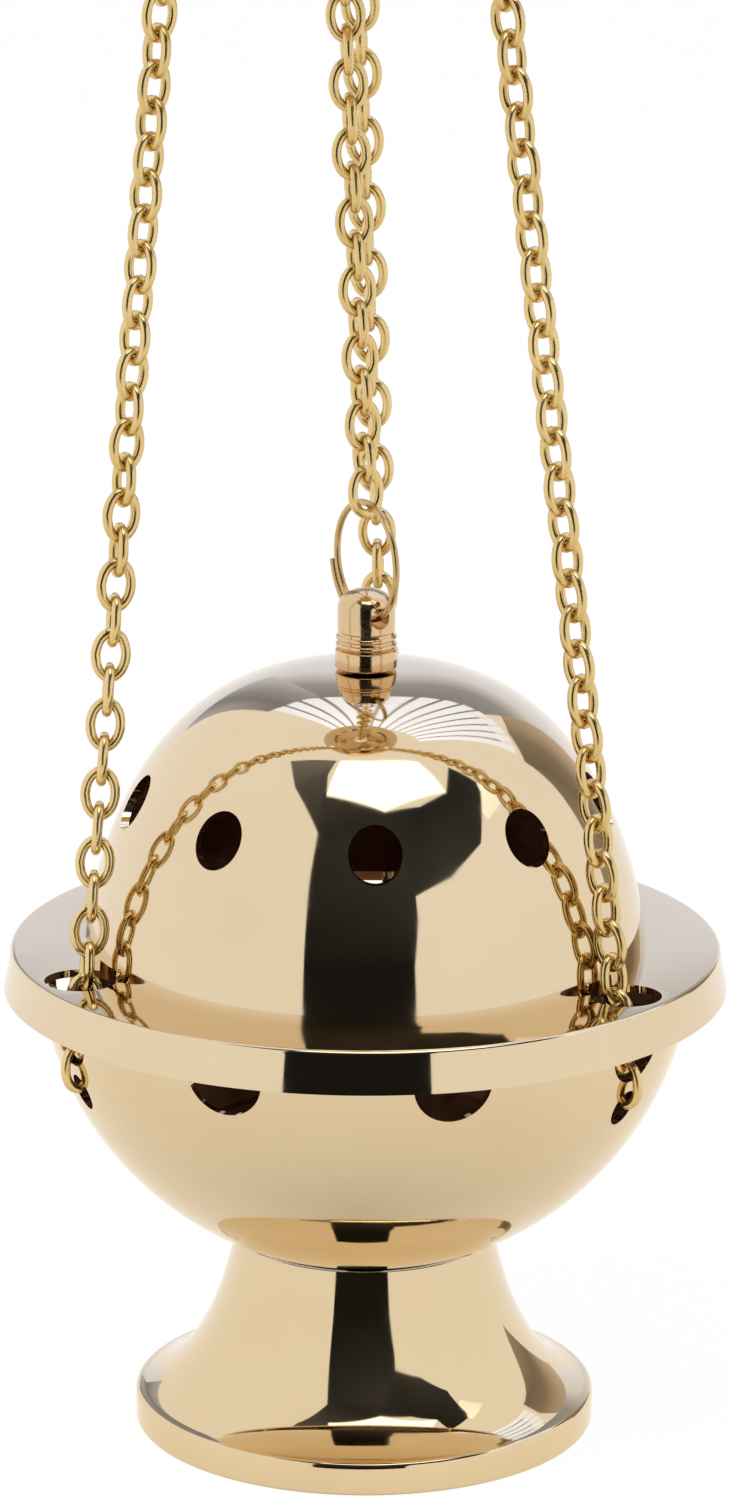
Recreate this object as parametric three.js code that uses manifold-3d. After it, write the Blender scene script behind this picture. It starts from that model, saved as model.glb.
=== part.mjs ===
// Hanging censer: a footed bowl, a pierced lid that slides up its chains, and a small hanger above.
// Millimetres, +Z up, the underside of the foot at z = 0 and the bowl's axis on x = y = 0.
import * as THREE from 'three';
import { mergeVertices } from 'three/addons/utils/BufferGeometryUtils.js';
import Module from 'manifold-3d';

const wasm = await Module();
wasm.setup();

// Clearances
const gap = 0.3;
const linkBite = 0.12;

// Reach of the tools that cut holes in the walls
const cutFrom = 20;
const cutTo = 50;

// Sheet metal
const bowlWall = 1.0;
const lidWall = 1.0;
const footWall = 1.2;
const roundSteps = 32;

// Bowl's width, which the lid and the chains follow
const bowlRadius = 43.6;
const bowlLinkInset = 2.1;
const bowlLinkPlace = bowlRadius - bowlLinkInset;

// Lid: a tall dome on a flat brim with a skirt
const brimTop = 66.5;
const brimOverhang = 3.5;
const brimRadius = bowlRadius + brimOverhang;
const skirtFlare = 0.9;
const skirtRadius = brimRadius + skirtFlare;
const skirtDepth = 5.5;
const domeInset = 6.4;
const domeRadius = bowlRadius - domeInset;
const domeHeight = 37.5;
const domeRadiusPower = 2.89;
const domeHeightPower = 1.55;
const ventRadius = 3.5;
const ventHeight = 21;
const ventCount = 9;
const ventStart = 2.3;
const chainHoleRadius = 4.75;
const chainHoleInset = 0.55;
const chainHolePlace = bowlLinkPlace - chainHoleInset;

// Bowl: part of a sphere, notched under the rim
const rimHeight = brimTop - lidWall - gap;
const notchRadius = 5.2;
const notchHeight = 60.3;
const notchCount = 9;
const firstChain = -64.8;
const bridge = 1.5;
const linkHoleRadius = 2.4;
const bowlLinkDrop = 0.9;

// Foot
const footRadius = 30.8;
const footRim = 4.6;
const footRimWidth = 2.8;
const flareInset = 7.3;
const flareLift = 2.4;
const neckFlare = 2.2;
const neckFlareHeight = 10.4;
const neckRadius = 17.3;

// Screw that holds the foot to the bowl
const screwRadius = 2.3;
const screwHeadRadius = 4;
const screwHeadHeight = 2.4;
const washerRadius = 5;
const washerThickness = 1;
const nutRadius = 4.6;
const nutHeight = 3.6;

// Charcoal pan, loose in the bowl
const panFloorRadius = 20;
const panRimRadius = 25;
const panHeight = 9;
const panWall = 0.9;

// Finial on the crown of the dome
const finialRadius = 4.1;
const finialHeight = 10.6;
const finialBore = 1.8;
const finialBoreDepth = 4.6;
const crossHoleRadius = 1.4;
const crossHoleHeight = 7.2;
const ringAngle = 30;
const lidScrewRadius = 1.5;
const lidScrewHeadRadius = 3.4;
const lidScrewHeadHeight = 2;

// Wire rings
const lidRingRadius = 7.7;
const lidRingWire = 0.9;
const tailRise = 1.25;
const tailOverlap = 38;
const tailEase = 45;
const ringStart = 100;
const liftRingRadius = 7;
const liftRingWire = 1.6;

// Chains
const wire = 1.3;
const linkWidth = 5.2;
const bowlLinks = 33;
const lowerLinks = 10;
const liftLinks = 18;
const linkSteps = 12;
const wireSides = 6;
const coreRadius = 1.8;

// Hanger above the chains, a little to one side of the bowl's axis
const hangerX = -3.6;
const hangerHeight = 200;
const hangerThickness = 1.6;
const hangerStrip = 1.2;
const hangerChainPlace = 24;
const hangerHoleRadius = 1.7;
const hangerLinkLift = 1.5;
const plateauRadius = 16.5;
const plateauRise = 2;
const liftHoleRadius = 4.6;
const bailWire = 2.8;
const bailHalfSpan = 13;
const bailHeight = 50;

// Colours
const polishedBrass = { color: 0xd9b878, roughness: 0.12, metalness: 1 };
const turnedBrass = { color: 0xd8a86a, roughness: 0.18, metalness: 1 };
const chainBrass = { color: 0xd2a73f, roughness: 0.3, metalness: 1 };
const wireBrass = { color: 0xb98d4e, roughness: 0.3, metalness: 1 };
const sootedBrass = { color: 0x6b4c2a, roughness: 0.6, metalness: 1 };

const censer = new THREE.Group();

// Solid modelling helpers

function toSolid(geometry) {
  const bare = geometry.clone();
  bare.deleteAttribute('normal');
  bare.deleteAttribute('uv');
  const merged = mergeVertices(bare);
  const corners = merged.index.array;
  const kept = [];
  for (let i = 0; i < corners.length; i += 3) {
    const [a, b, c] = [corners[i], corners[i + 1], corners[i + 2]];
    if (a !== b && b !== c && c !== a) kept.push(a, b, c);
  }
  const mesh = new wasm.Mesh({
    numProp: 3,
    vertProperties: new Float32Array(merged.attributes.position.array),
    triVerts: new Uint32Array(kept),
  });
  return new wasm.Manifold(mesh);
}

function toGeometry(solid) {
  const mesh = solid.getMesh();
  const geometry = new THREE.BufferGeometry();
  geometry.setAttribute('position', new THREE.BufferAttribute(new Float32Array(mesh.vertProperties), 3));
  geometry.setIndex(new THREE.BufferAttribute(new Uint32Array(mesh.triVerts), 1));
  geometry.computeVertexNormals();
  return geometry;
}

function addPart(name, solid, look) {
  const mesh = new THREE.Mesh(toGeometry(solid), new THREE.MeshStandardMaterial(look));
  mesh.name = name;
  censer.add(mesh);
}

// A closed outline of [radius, height] points, turned about the Z axis
function turned(outline, steps = roundSteps) {
  const points = outline.map(([r, z]) => new THREE.Vector2(r, z));
  if (THREE.ShapeUtils.area(points) < 0) points.reverse();
  points.push(points[0].clone());
  const geometry = new THREE.LatheGeometry(points, steps);
  geometry.rotateX(Math.PI / 2);
  return toSolid(geometry);
}

function rod(radius, bottom, top, x = 0, y = 0, steps = 24) {
  const geometry = new THREE.CylinderGeometry(radius, radius, top - bottom, steps);
  geometry.rotateX(Math.PI / 2);
  geometry.translate(x, y, (top + bottom) / 2);
  return toSolid(geometry);
}

// A rod lying in a horizontal direction, from one distance to another
function crossRod(radius, azimuth, near, far, height, steps = 20) {
  const geometry = new THREE.CylinderGeometry(radius, radius, far - near, steps);
  geometry.translate(0, (far + near) / 2, 0);
  geometry.rotateZ(Math.PI + azimuth * THREE.MathUtils.DEG2RAD);
  geometry.translate(0, 0, height);
  return toSolid(geometry);
}

// Azimuth in degrees, from -Y at the front towards +X
function outward(azimuth) {
  const angle = azimuth * THREE.MathUtils.DEG2RAD;
  return new THREE.Vector3(Math.sin(angle), -Math.cos(angle), 0);
}

// The same path moved sideways by a distance, to its left as it runs
function beside(path, distance) {
  return path.map((point, i) => {
    const before = path[Math.max(i - 1, 0)];
    const after = path[Math.min(i + 1, path.length - 1)];
    const run = [after[0] - before[0], after[1] - before[1]];
    const length = Math.hypot(run[0], run[1]);
    return [point[0] - distance * run[1] / length, point[1] + distance * run[0] / length];
  });
}

function sphereHeight(radius, place) {
  return brimTop - Math.sqrt(radius * radius - place * place);
}

function arcPoints(radius, from, to, steps) {
  const points = [];
  for (let i = 0; i <= steps; i += 1) {
    const place = from + (to - from) * i / steps;
    points.push([place, sphereHeight(radius, place)]);
  }
  return points;
}

// Foot

function footFlare() {
  const curve = new THREE.CubicBezierCurve(
    new THREE.Vector2(footRadius - 0.9, footRim),
    new THREE.Vector2(footRadius - flareInset, footRim + flareLift),
    new THREE.Vector2(neckRadius + neckFlare, footRim + neckFlareHeight),
    new THREE.Vector2(neckRadius, sphereHeight(bowlRadius + gap, neckRadius)),
  );
  return curve.getPoints(5).map((p) => [p.x, p.y]);
}

function makeFoot() {
  const hole = screwRadius + gap;
  const seat = arcPoints(bowlRadius + gap, neckRadius - 1.5, hole, 2);
  const underSeat = arcPoints(bowlRadius + gap + footWall, hole, neckRadius - 2.5, 2);
  const flare = footFlare();
  const inside = beside(flare, footWall).reverse().slice(1);
  const rim = [
    [footRadius - footRimWidth, footRim - 1],
    [footRadius - footRimWidth, 0],
    [footRadius - 0.4, 0],
    [footRadius, 0.5],
    [footRadius, footRim - 0.9],
    [footRadius - 0.3, footRim - 0.2],
  ];
  return turned([...rim, ...flare, ...seat, ...underSeat, ...inside]);
}

// Bowl

function makeBowl() {
  const hole = screwRadius + gap;
  const steps = 8;
  const outer = [];
  const inner = [];
  const innerRadius = bowlRadius - bowlWall;
  for (let i = 0; i <= steps; i += 1) {
    const share = i / steps;
    const low = Math.asin(hole / bowlRadius);
    const high = Math.PI / 2 - Math.asin((brimTop - rimHeight) / bowlRadius);
    const angle = low + (high - low) * share;
    outer.push([bowlRadius * Math.sin(angle), brimTop - bowlRadius * Math.cos(angle)]);
    const lowIn = Math.asin(hole / innerRadius);
    const highIn = Math.PI / 2 - Math.asin((brimTop - rimHeight) / innerRadius);
    const angleIn = lowIn + (highIn - lowIn) * share;
    inner.push([innerRadius * Math.sin(angleIn), brimTop - innerRadius * Math.cos(angleIn)]);
  }
  let bowl = turned([...outer, ...inner.reverse()]);
  for (let i = 0; i < notchCount; i += 1) {
    const azimuth = firstChain + 360 * i / notchCount;
    bowl = bowl.subtract(crossRod(notchRadius, azimuth, cutFrom, cutTo, notchHeight));
    const slot = new THREE.BoxGeometry(2 * notchRadius, cutTo - cutFrom, brimTop - notchHeight);
    slot.translate(0, -(cutTo + cutFrom) / 2, (brimTop + notchHeight) / 2);
    slot.rotateZ(azimuth * THREE.MathUtils.DEG2RAD);
    bowl = bowl.subtract(toSolid(slot));
    if (i % 3 === 0) {
      bowl = bowl.subtract(crossRod(linkHoleRadius, azimuth, cutFrom, cutTo, linkHoleHeight(), 12));
    }
  }
  return bowl;
}

function linkHoleTop() {
  return notchHeight - notchRadius - bridge;
}

function linkHoleHeight() {
  return linkHoleTop() - linkHoleRadius;
}

// Lid

function domePoint(share) {
  const height = domeHeight * share;
  const radius = domeRadius * (1 - share ** domeHeightPower) ** (1 / domeRadiusPower);
  return [radius, brimTop + height];
}

function makeLid() {
  const hole = lidScrewRadius + gap;
  const shares = [0, 0.2, 0.4, 0.58, 0.74, 0.87, 0.965];
  const dome = shares.map(domePoint).reverse();
  const crown = [hole, brimTop + domeHeight];
  const outer = [crown, ...dome, [brimRadius - 0.5, brimTop], [brimRadius, brimTop - 0.5]];
  outer.push([brimRadius + 0.35, brimTop - skirtDepth / 2]);
  outer.push([skirtRadius, brimTop - skirtDepth]);
  const innerDome = beside([...dome].reverse(), lidWall).reverse();
  innerDome[innerDome.length - 1] = [domeRadius - lidWall, brimTop - lidWall];
  const innerCrown = [hole, brimTop + domeHeight - lidWall];
  const inner = [innerCrown, ...innerDome, [brimRadius - lidWall, brimTop - lidWall]];
  inner.push([skirtRadius - lidWall, brimTop - skirtDepth]);
  let lid = turned([...outer, ...inner.reverse()]);
  for (let i = 0; i < ventCount; i += 1) {
    const azimuth = ventStart + 360 * i / ventCount;
    lid = lid.subtract(crossRod(ventRadius, azimuth, cutFrom, cutTo, brimTop + ventHeight));
  }
  for (let i = 0; i < 3; i += 1) {
    const place = outward(firstChain + 120 * i).multiplyScalar(chainHolePlace);
    const top = brimTop + lidWall + 0.5;
    lid = lid.subtract(rod(chainHoleRadius, brimTop - 2 * lidWall, top, place.x, place.y, 20));
  }
  return lid;
}

// Screws, washers and nuts on the bowl's axis

function makeFootScrew() {
  const seat = sphereHeight(bowlRadius - bowlWall, screwHeadRadius) + gap;
  const tip = footNutBottom() - 1;
  return turned([
    [0, tip], [screwRadius, tip], [screwRadius, seat], [screwHeadRadius, seat],
    [screwHeadRadius * 0.8, seat + screwHeadHeight * 0.7], [0, seat + screwHeadHeight],
  ], 12);
}

function footWasherTop() {
  return sphereHeight(bowlRadius + gap + footWall, 0) - gap;
}

function footNutBottom() {
  return footWasherTop() - washerThickness - gap - nutHeight;
}

function ringPlate(outer, inner, bottom, top, steps = 12) {
  return turned([[inner, bottom], [outer, bottom], [outer, top], [inner, top]], steps);
}

function hexNut(radius, hole, bottom, top, x = 0) {
  const blank = rod(radius, bottom, top, x, 0, 6);
  return blank.subtract(rod(hole, bottom - 1, top + 1, x, 0, 16));
}

function makeLidScrew() {
  const seat = brimTop + domeHeight - lidWall - gap - washerThickness - gap;
  const tip = finialBase() + finialBoreDepth - gap;
  return turned([
    [0, seat - lidScrewHeadHeight], [lidScrewHeadRadius * 0.8, seat - lidScrewHeadHeight],
    [lidScrewHeadRadius, seat], [lidScrewRadius, seat], [lidScrewRadius, tip], [0, tip],
  ], 16);
}

// Charcoal pan, its floor's edge resting on the inside of the bowl

function makePan() {
  const floor = sphereHeight(bowlRadius - bowlWall, panFloorRadius) + gap;
  return turned([
    [0, floor], [panFloorRadius, floor],
    [panRimRadius - 1.2, floor + panHeight - panWall],
    [panRimRadius, floor + panHeight - panWall], [panRimRadius, floor + panHeight],
    [panRimRadius - 2, floor + panHeight], [panFloorRadius - panWall * 0.6, floor + panWall],
    [0, floor + panWall],
  ], 24);
}

// Finial

function finialBase() {
  return brimTop + domeHeight + gap;
}

function crossHoleZ() {
  return finialBase() + crossHoleHeight;
}

function makeFinial() {
  const base = finialBase();
  const r = finialRadius;
  const outline = [
    [finialBore, base], [r - 0.2, base], [r, base + 0.4], [r, base + 2.4], [r - 0.35, base + 2.8],
    [r - 0.05, base + 3.3], [r - 0.35, base + 3.8], [r - 0.1, base + 4.3], [r - 0.5, base + 4.8],
    [r - 0.3, base + 5.2], [r - 0.3, base + 8.2], [r * 0.72, base + 9.6],
    [0, base + finialHeight], [0, base + finialBoreDepth], [finialBore, base + finialBoreDepth],
  ];
  const body = turned(outline, 16);
  return body.subtract(crossRod(crossHoleRadius, ringAngle, -6, 6, crossHoleZ(), 16));
}

// Wire loops

// An oval ring of wire: its long way is along +Y and its face looks along +Z
function oval(width, length, thickness, steps, sides) {
  const mean = (width + length) / 4;
  const geometry = new THREE.TorusGeometry(mean, thickness / 2, sides, steps);
  geometry.rotateZ(Math.PI / steps);
  const place = geometry.attributes.position;
  for (let i = 0; i < place.count; i += 1) {
    const angle = Math.atan2(place.getY(i), place.getX(i));
    place.setX(i, place.getX(i) + (width / 2 - mean) * Math.cos(angle));
    place.setY(i, place.getY(i) + (length / 2 - mean) * Math.sin(angle));
  }
  return geometry;
}

// The lid's ring: wire bent round once and a little more, its tail outside its start
class OpenRing extends THREE.Curve {
  getPoint(share) {
    const turn = share * (360 + tailOverlap);
    const ease = THREE.MathUtils.smoothstep(turn, tailOverlap, tailOverlap + tailEase);
    const radius = lidRingRadius + tailRise * (1 - ease);
    const angle = (ringStart + turn) * THREE.MathUtils.DEG2RAD;
    const side = outward(ringAngle).multiplyScalar(-radius * Math.sin(angle));
    return new THREE.Vector3(side.x, side.y, radius * Math.cos(angle));
  }
}

function lidRingCentre() {
  return crossHoleZ() + lidRingRadius + lidRingWire / 2 - crossHoleRadius + gap;
}

function makeLidRing() {
  const section = new THREE.Shape();
  section.absarc(0, 0, lidRingWire / 2, 0, 2 * Math.PI, false);
  const options = { steps: 28, bevelEnabled: false, curveSegments: 3, extrudePath: new OpenRing() };
  const geometry = new THREE.ExtrudeGeometry(section, options);
  geometry.translate(0, 0, lidRingCentre());
  return toSolid(geometry);
}

// Chains: a real link at each end, and between them the stretch that the other links fill

function linkPitch(distance, count) {
  return (distance + linkBite - wire) / count;
}

function linkLength(pitch) {
  return pitch - linkBite + wire;
}

// One link from its first bar's centre, long way along a direction, flat way along a second one
function makeLink(bar, along, flat, pitch) {
  const geometry = oval(linkWidth - wire, linkLength(pitch), wire, linkSteps, wireSides);
  const face = new THREE.Vector3().crossVectors(flat, along).normalize();
  const side = new THREE.Vector3().crossVectors(along, face).normalize();
  const turn = new THREE.Matrix4().makeBasis(side, along, face);
  turn.setPosition(along.clone().multiplyScalar(linkLength(pitch) / 2).add(bar));
  geometry.applyMatrix4(turn);
  return toSolid(geometry);
}

// The middle of a chain as one plain round bar between two distances along it
function makeStretch(start, along, from, to) {
  const geometry = new THREE.CylinderGeometry(coreRadius, coreRadius, to - from, 8);
  geometry.translate(0, (from + to) / 2, 0);
  const turn = new THREE.Quaternion().setFromUnitVectors(new THREE.Vector3(0, 1, 0), along);
  geometry.applyQuaternion(turn);
  geometry.translate(start.x, start.y, start.z);
  return toSolid(geometry);
}

// Where a chain runs: the centre of its first bar, its direction, its length and its link pitch
function chainRun(start, end, count) {
  const along = new THREE.Vector3().subVectors(end, start);
  const length = along.length();
  return { start, end, along: along.normalize(), length, pitch: linkPitch(length, count) };
}

function endClearance(run) {
  return linkLength(run.pitch) + wire / 2 + gap;
}

function addBowlChain(side, azimuth) {
  const run = chainRun(bowlBar(azimuth), hangerBar(azimuth), bowlLinks);
  const flat = outward(azimuth);
  const back = run.along.clone().negate();
  const joint = run.pitch * lowerLinks + (wire - linkBite) / 2;
  const far = run.length - endClearance(run);
  addPart(`chain_${side}_bowl_link`, makeLink(run.start, run.along, flat, run.pitch), chainBrass);
  addPart(`chain_${side}_lower`, makeStretch(run.start, run.along, endClearance(run), joint - gap), chainBrass);
  addPart(`chain_${side}_upper`, makeStretch(run.start, run.along, joint + gap, far), chainBrass);
  addPart(`chain_${side}_hanger_link`, makeLink(run.end, back, flat, run.pitch), chainBrass);
}

function addLiftChain() {
  const start = new THREE.Vector3(0, 0, lidRingCentre() + lidRingRadius - lidRingWire / 2 - gap - wire / 2);
  const end = liftRingPoint();
  end.z += liftRingWire / 2 + gap + wire / 2;
  const run = chainRun(start, end, liftLinks);
  const back = run.along.clone().negate();
  const far = run.length - endClearance(run);
  const first = makeLink(run.start, run.along, outward(ringAngle + 90), run.pitch);
  addPart('lift_chain_lid_link', first, chainBrass);
  addPart('lift_chain', makeStretch(run.start, run.along, endClearance(run), far), chainBrass);
  addPart('lift_chain_ring_link', makeLink(run.end, back, outward(0), run.pitch), chainBrass);
}

function bowlBar(azimuth) {
  const point = outward(azimuth).multiplyScalar(bowlLinkPlace);
  point.z = linkHoleTop() - gap - wire / 2 - bowlLinkDrop;
  return point;
}

function hangerBar(azimuth) {
  const point = outward(azimuth).multiplyScalar(hangerChainPlace);
  point.x += hangerX;
  point.z = hangerHeight + hangerThickness + gap + wire / 2 + hangerLinkLift;
  return point;
}

function plateauTop() {
  return hangerHeight + hangerThickness + plateauRise;
}

function liftRingPoint() {
  return new THREE.Vector3(hangerX, 0, plateauTop() + gap + liftRingWire / 2);
}

function makeLiftRing() {
  const centre = liftRingPoint();
  const geometry = oval(2 * liftRingRadius, 2 * liftRingRadius, liftRingWire, 16, 6);
  geometry.translate(centre.x, liftRingRadius, centre.z);
  return toSolid(geometry);
}

// Hanger

function makeHangerPlate() {
  const edge = hangerChainPlace + hangerStrip / 2;
  const low = hangerHeight;
  const high = low + hangerThickness;
  const step = plateauRadius + 0.8;
  let plate = turned([
    [liftHoleRadius, low + plateauRise], [plateauRadius - 0.8, low + plateauRise], [step, low],
    [edge - 0.3, low], [edge, low + 0.3], [edge, high - 0.3], [edge - 0.3, high],
    [step + 0.8, high], [plateauRadius, high + plateauRise], [liftHoleRadius, high + plateauRise],
  ]);
  for (let i = 0; i < 3; i += 1) {
    const place = outward(firstChain + 120 * i);
    place.multiplyScalar(hangerChainPlace - hangerStrip / 2 - hangerHoleRadius);
    plate = plate.subtract(rod(hangerHoleRadius, low - 1, high + 1, place.x, place.y, 16));
  }
  for (const side of [-1, 1]) {
    const hole = bailWire / 2 + gap;
    plate = plate.subtract(rod(hole, low - 1, plateauTop() + 1, side * bailHalfSpan, 0, 16));
  }
  return plate.translate([hangerX, 0, 0]);
}

function bailFootBottom() {
  return hangerHeight + plateauRise - gap - nutThickness() - 1;
}

function nutThickness() {
  return nutHeight * 0.7;
}

function makeBail() {
  const path = new THREE.CurvePath();
  const shoulder = plateauTop() + bailHeight - bailHalfSpan;
  const left = new THREE.Vector3(-bailHalfSpan, 0, bailFootBottom());
  const leftTop = new THREE.Vector3(-bailHalfSpan, 0, shoulder);
  path.add(new THREE.LineCurve3(left, leftTop));
  const steps = 12;
  let before = leftTop;
  for (let i = 1; i <= steps; i += 1) {
    const angle = Math.PI * (1 - i / steps);
    const x = bailHalfSpan * Math.cos(angle);
    const after = new THREE.Vector3(x, 0, shoulder + bailHalfSpan * Math.sin(angle));
    path.add(new THREE.LineCurve3(before, after));
    before = after;
  }
  path.add(new THREE.LineCurve3(before, new THREE.Vector3(bailHalfSpan, 0, bailFootBottom())));
  const section = new THREE.Shape();
  section.absarc(0, 0, bailWire / 2, 0, 2 * Math.PI, false);
  const options = { steps: 24, bevelEnabled: false, curveSegments: 4, extrudePath: path };
  const geometry = new THREE.ExtrudeGeometry(section, options);
  geometry.translate(hangerX, 0, 0);
  return toSolid(geometry);
}

function makeBailNut(side) {
  const top = hangerHeight + plateauRise - gap;
  const outer = bailWire / 2 + 1.6;
  return hexNut(outer, bailWire / 2 + gap, top - nutThickness(), top, hangerX + side * bailHalfSpan);
}

// The whole object

addPart('foot', makeFoot(), polishedBrass);
addPart('bowl', makeBowl(), polishedBrass);
addPart('foot_screw', makeFootScrew(), turnedBrass);
const footWasher = footWasherTop();
const washerHole = screwRadius + gap;
const footWasherPlate = ringPlate(washerRadius, washerHole, footWasher - washerThickness, footWasher);
addPart('foot_washer', footWasherPlate, turnedBrass);
const footNut = hexNut(nutRadius, washerHole, footNutBottom(), footNutBottom() + nutHeight);
addPart('foot_nut', footNut, turnedBrass);
addPart('charcoal_pan', makePan(), sootedBrass);
addPart('lid', makeLid(), polishedBrass);
addPart('finial', makeFinial(), turnedBrass);
addPart('finial_screw', makeLidScrew(), turnedBrass);
const lidWasher = brimTop + domeHeight - lidWall - gap;
const lidWasherPlate = ringPlate(
  lidScrewHeadRadius + 0.8, lidScrewRadius + gap, lidWasher - washerThickness, lidWasher, 16);
addPart('finial_washer', lidWasherPlate, turnedBrass);
addPart('lid_ring', makeLidRing(), wireBrass);
addLiftChain();
addPart('lift_ring', makeLiftRing(), wireBrass);
['left', 'right', 'rear'].forEach((side, i) => addBowlChain(side, firstChain + 120 * i));
addPart('hanger_plate', makeHangerPlate(), polishedBrass);
addPart('hanger_bail', makeBail(), turnedBrass);
addPart('bail_nut_left', makeBailNut(-1), turnedBrass);
addPart('bail_nut_right', makeBailNut(1), turnedBrass);

export default censer;
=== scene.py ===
"""A small brass censer on a pale floor: dome lid, footed bowl, chains and a hanger just above the view."""
import math

import bmesh
import bpy
from mathutils import Matrix, Vector


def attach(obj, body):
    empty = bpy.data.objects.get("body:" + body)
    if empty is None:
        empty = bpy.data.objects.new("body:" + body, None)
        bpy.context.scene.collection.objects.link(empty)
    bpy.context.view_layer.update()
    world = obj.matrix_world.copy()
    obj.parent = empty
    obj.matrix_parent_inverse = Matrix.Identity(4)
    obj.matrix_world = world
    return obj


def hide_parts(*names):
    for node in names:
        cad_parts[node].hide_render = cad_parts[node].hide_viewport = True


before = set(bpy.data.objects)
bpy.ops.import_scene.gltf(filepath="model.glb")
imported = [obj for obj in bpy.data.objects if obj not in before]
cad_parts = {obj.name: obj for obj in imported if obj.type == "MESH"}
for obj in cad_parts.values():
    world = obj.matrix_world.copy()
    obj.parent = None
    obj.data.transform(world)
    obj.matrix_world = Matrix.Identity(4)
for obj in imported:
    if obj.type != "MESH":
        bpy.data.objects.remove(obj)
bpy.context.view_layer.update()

MM = 0.001

# Sheet metal, in millimetres
GAP = 0.3
BOWL_WALL = 1.0
LID_WALL = 1.0
FOOT_WALL = 1.2
ROUND_STEPS = 160
HOLE_STEPS = 28
SMOOTH_ANGLE = 32
CUT_MARGIN = 1.0
CHAIN_COUNT = 3

# Lid
BRIM_TOP = 66.5
BRIM_RADIUS = 47.1
SKIRT_RADIUS = 48.0
SKIRT_DEPTH = 5.5
DOME_RADIUS = 37.2
DOME_HEIGHT = 37.5
DOME_RADIUS_POWER = 2.89
DOME_HEIGHT_POWER = 1.55
DOME_STEPS = 64
VENT_RADIUS = 3.5
VENT_HEIGHT = 21.0
VENT_COUNT = 9
VENT_START = 2.3
VENT_REACH = (22, 42)
BRIM_ROUND = 0.6
SKIRT_BULGE = 0.35
CHAIN_HOLE_RADIUS = 4.75
CHAIN_HOLE_PLACE = BRIM_RADIUS - 6.15
CHAIN_HOLE_CUT = (BRIM_TOP - 2, BRIM_TOP + 1.5)
LID_SCREW_HOLE = 1.8
LID_CROWN_FLAT = 1.0
LID_INSIDE_CENTRE = BRIM_TOP - 4
INWARD_FACING = -0.35

# Bowl
BOWL_RADIUS = 43.6
RIM_HEIGHT = BRIM_TOP - LID_WALL - GAP
NOTCH_RADIUS = 5.2
NOTCH_HEIGHT = 60.3
NOTCH_COUNT = 9
NOTCH_REACH = (20, 52)
NOTCH_TOP = BRIM_TOP + 2
BOWL_STEPS = 48
FIRST_CHAIN = -64.8
BRIDGE = 1.5
LINK_HOLE_RADIUS = 2.4
BOWL_LINK_PLACE = BOWL_RADIUS - 2.1
BOWL_LINK_DROP = 0.9
FOOT_SCREW_HOLE = 2.6

# Foot
FOOT_RADIUS = 30.8
FOOT_RIM = 4.6
FOOT_RIM_WIDTH = 2.8
FOOT_RIM_STEP = 1.0
FOOT_LOW_ROUND = 0.5
FOOT_TOP_ROUND = 0.8
NECK_RADIUS = 17.3
FLARE_EDGE = 0.9
FLARE_INSET = 7.3
FLARE_LIFT = 2.4
NECK_FLARE = 2.2
NECK_FLARE_HEIGHT = 10.4
FLARE_STEPS = 40
SEAT_INSET = 1.5
UNDER_SEAT_INSET = 2.5
SEAT_STEPS = 12

# Finial, its heights counted from its base
FINIAL_RADIUS = 4.1
FINIAL_HEIGHT = 10.6
FINIAL_STEPS = 96
BASE_ROUND = 0.25
COLLAR_HEIGHT = 2.3
COLLAR_ROUND = 0.2
BEAD_HEIGHTS = (3.1, 4.1)
BEAD_RADIUS = 0.36
BEAD_INSET = 0.42
GROOVE_INSET = 0.45
GROOVE_DROP = 0.42
NECK_INSET = 0.5
NECK_HEIGHT = 4.75
BARREL_INSET = 0.3
BARREL_FROM = 5.0
BARREL_TO = 8.0
TIP_STEPS = 12
FINIAL_BORE = 1.8
FINIAL_BORE_DEPTH = 4.6
CROSS_HOLE_RADIUS = 1.4
CROSS_HOLE_HEIGHT = 7.2
CROSS_HOLE_STEPS = 32
CROSS_HOLE_REACH = 8

# Wire rings
RING_ANGLE = 30.0
RING_SIDES = 14
LID_RING_RADIUS = 7.7
LID_RING_WIRE = 0.9
TAIL_RISE = 1.25
TAIL_OVERLAP = 38.0
TAIL_EASE = 45.0
RING_START = 100.0
LID_RING_STEPS = 96
LIFT_RING_RADIUS = 7.0
LIFT_RING_WIRE = 1.6
LIFT_RING_STEPS = 64

# Chains
WIRE = 1.3
LINK_WIDTH = 5.2
LINK_PLAY = 0.08
LINK_STEPS = 26
LINK_SIDES = 10
LINK_SMOOTH_ANGLE = 60
LEFT_CHAIN_TWIST = -25.0
RIGHT_CHAIN_TWIST = -12.0
BOWL_LINKS = 33
LOWER_LINKS = 10
LIFT_LINKS = 18

# Hanger
HANGER_X = -3.6
HANGER_HEIGHT = 200.0
HANGER_THICKNESS = 1.6
HANGER_STRIP = 1.0
HANGER_CHAIN_PLACE = 24.0
HANGER_HOLE_RADIUS = 1.7
HANGER_LINK_LIFT = 1.5
HANGER_ROUND = 0.4
HANGER_STEPS = 128
PLATEAU_RADIUS = 16.5
PLATEAU_RISE = 2.0
PLATEAU_SLOPE = 0.8
LIFT_HOLE_RADIUS = 4.6
BAIL_WIRE = 2.8
BAIL_HALF_SPAN = 13.0
BAIL_HEIGHT = 50.0
BAIL_FOOT = 198.2
BAIL_STEPS = 32
BAIL_SIDES = 20

# Brass: how its tone, marks and ripple vary
DRIFT_SCALE = 38.0
DRIFT_DETAIL = 5.0
GRAIN_DETAIL = 8.0
GRAIN_LOW = 0.35
GRAIN_HIGH = 0.7
RIPPLE_DETAIL = 2.0

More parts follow.
